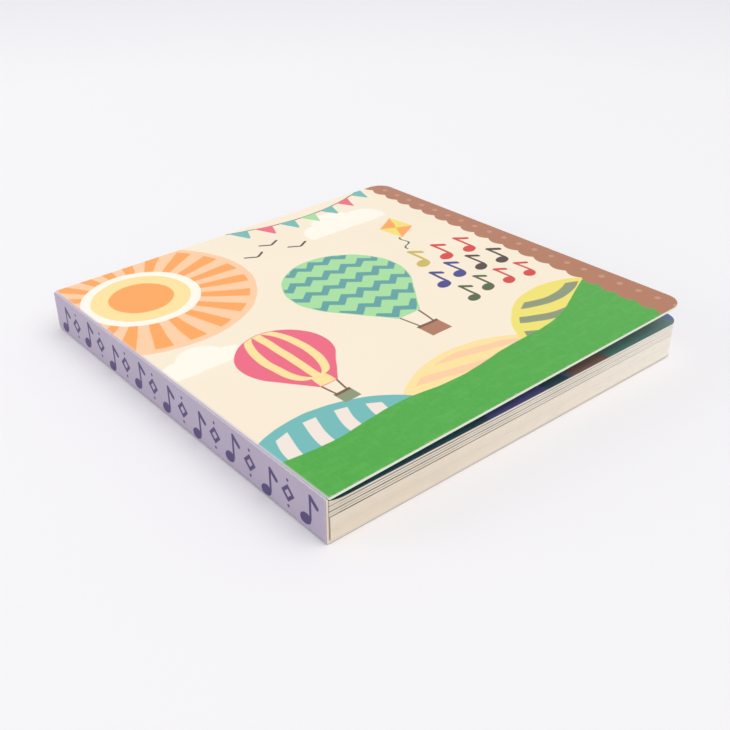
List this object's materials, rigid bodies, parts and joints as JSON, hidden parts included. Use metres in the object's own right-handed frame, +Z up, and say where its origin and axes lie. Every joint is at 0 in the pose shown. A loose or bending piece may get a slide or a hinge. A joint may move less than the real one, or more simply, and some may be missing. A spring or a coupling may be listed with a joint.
{
  "type": "sound book",
  "caption": "Square board book with a folded spine, a cover that stands ajar and a sound module in the thick block behind its leaves.",
  "frame": {"origin": "on the table, under the middle of the closed book that lies on its back cover", "axes": "+X from the spine to the fore edge, +Y from the foot of the pages to their head, +Z up through the pages"},
  "size_m": [0.18, 0.18, 0.0229],
  "materials": {
    "printed_board": "satin",
    "cover_print": "satin",
    "page_board": "matte",
    "core_board": "matte",
    "housing_plastic": "matte",
    "screw_steel": "satin",
    "circuit_laminate": "satin",
    "chip_resin": "gloss",
    "mat_rubber": "matte",
    "switch_case": "satin",
    "knob_plastic": "matte",
    "cell_steel": "gloss",
    "contact_metal": "gloss",
    "door_plastic": "matte",
    "speaker_steel": "satin",
    "magnet_ferrite": "satin",
    "cone_paper": "matte",
    "button_plastic": "matte",
    "wire_red": "satin",
    "wire_black": "satin"
  },
  "bodies": {
    "book": {"back_cover_and_spine": "printed_board", "page_block": "page_board", "core_block": "core_board", "module_housing": "housing_plastic", "module_lid": "housing_plastic", "lid_screws": "screw_steel", "circuit_board": "circuit_laminate", "circuit_screws": "screw_steel", "sound_chip": "chip_resin", "key_mat": "mat_rubber", "switch_body": "switch_case", "button_cell_1": "cell_steel", "button_cell_2": "cell_steel", "button_cell_3": "cell_steel", "contact_negative": "contact_metal", "contact_bridge_1": "contact_metal", "contact_bridge_2": "contact_metal", "contact_positive": "contact_metal", "speaker_frame": "speaker_steel", "speaker_magnet": "magnet_ferrite", "speaker_cone": "cone_paper", "battery_wire": "wire_black", "speaker_wire_red": "wire_red", "speaker_wire_black": "wire_black"},
    "front_cover": {"front_cover": "cover_print"},
    "switch_knob": {"switch_knob": "knob_plastic"},
    "battery_door": {"battery_door": "door_plastic", "door_screw": "screw_steel"},
    "button_1": {"button_1": "button_plastic"},
    "button_2": {"button_2": "button_plastic"},
    "button_3": {"button_3": "button_plastic"},
    "button_4": {"button_4": "button_plastic"},
    "button_5": {"button_5": "button_plastic"},
    "button_6": {"button_6": "button_plastic"}
  },
  "joints": [
    {"name": "front_cover_hinge", "type": "hinge", "parent": "book", "child": "front_cover", "pos_m": [-0.08955, 0, 0.0173], "axis": [0, -1, 0], "range_deg": [-2, 178]},
    {"name": "switch_slide", "type": "slide", "parent": "book", "child": "switch_knob", "axis": [0, 1, 0], "range_m": [0, 0.002]},
    {"name": "battery_door_lift", "type": "slide", "parent": "book", "child": "battery_door", "axis": [0, 0, -1], "range_m": [0, 0.008]},
    {"name": "button_1_press", "type": "slide", "parent": "book", "child": "button_1", "axis": [0, 0, -1], "range_m": [0, 0.0007], "stiffness_N_per_m": 1400},
    {"name": "button_2_press", "type": "slide", "parent": "book", "child": "button_2", "axis": [0, 0, -1], "range_m": [0, 0.0007], "stiffness_N_per_m": 1400},
    {"name": "button_3_press", "type": "slide", "parent": "book", "child": "button_3", "axis": [0, 0, -1], "range_m": [0, 0.0007], "stiffness_N_per_m": 1400},
    {"name": "button_4_press", "type": "slide", "parent": "book", "child": "button_4", "axis": [0, 0, -1], "range_m": [0, 0.0007], "stiffness_N_per_m": 1400},
    {"name": "button_5_press", "type": "slide", "parent": "book", "child": "button_5", "axis": [0, 0, -1], "range_m": [0, 0.0007], "stiffness_N_per_m": 1400},
    {"name": "button_6_press", "type": "slide", "parent": "book", "child": "button_6", "axis": [0, 0, -1], "range_m": [0, 0.0007], "stiffness_N_per_m": 1400}
  ]
}
